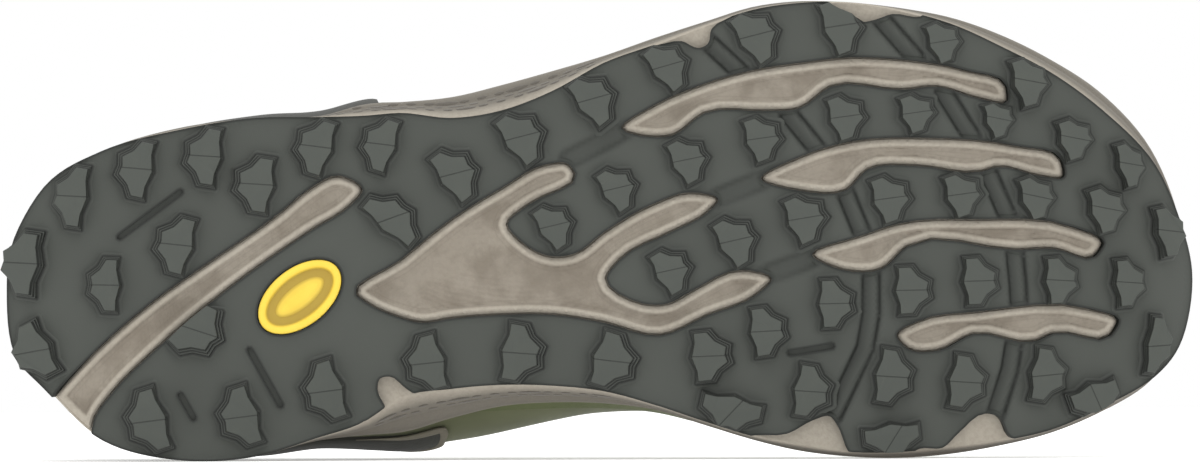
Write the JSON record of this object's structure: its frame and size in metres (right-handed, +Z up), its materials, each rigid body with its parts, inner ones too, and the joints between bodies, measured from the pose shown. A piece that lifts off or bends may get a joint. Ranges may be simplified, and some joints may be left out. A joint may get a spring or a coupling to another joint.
{
  "type": "trail running shoe",
  "caption": "Right trail running shoe lying on its arch side: lugged rubber tread over a stepped foam midsole, hollow mesh upper open at the collar, tongue and crossed lace.",
  "frame": {"origin": "bottom centre of the bounding box, on the floor under the shoe as it lies on its arch side", "axes": "+X from heel to toe, +Y from the sole towards the collar, +Z up from the arch side to the outer side"},
  "size_m": [0.3012, 0.1136, 0.116],
  "materials": {
    "outsole": "matte moulded rubber",
    "midsole": "matt moulded foam",
    "insole": "brushed fabric",
    "upper": "fine mesh",
    "tongue": "padded mesh",
    "eyestay": "smooth welded film",
    "heel_counter": "matt moulded film",
    "counter_trim": "matt film",
    "mudguard": "smooth welded film",
    "lace": "woven cord",
    "tread_inlay": "matt rubber"
  },
  "bodies": {
    "root": {"outsole": "outsole", "midsole": "midsole", "insole": "insole", "upper": "upper", "tongue": "tongue", "eyestay": "eyestay", "heel_counter": "heel_counter", "counter_trim": "counter_trim", "mudguard": "mudguard", "lace": "lace", "tread_inlay": "tread_inlay"}
  },
  "joints": []
}
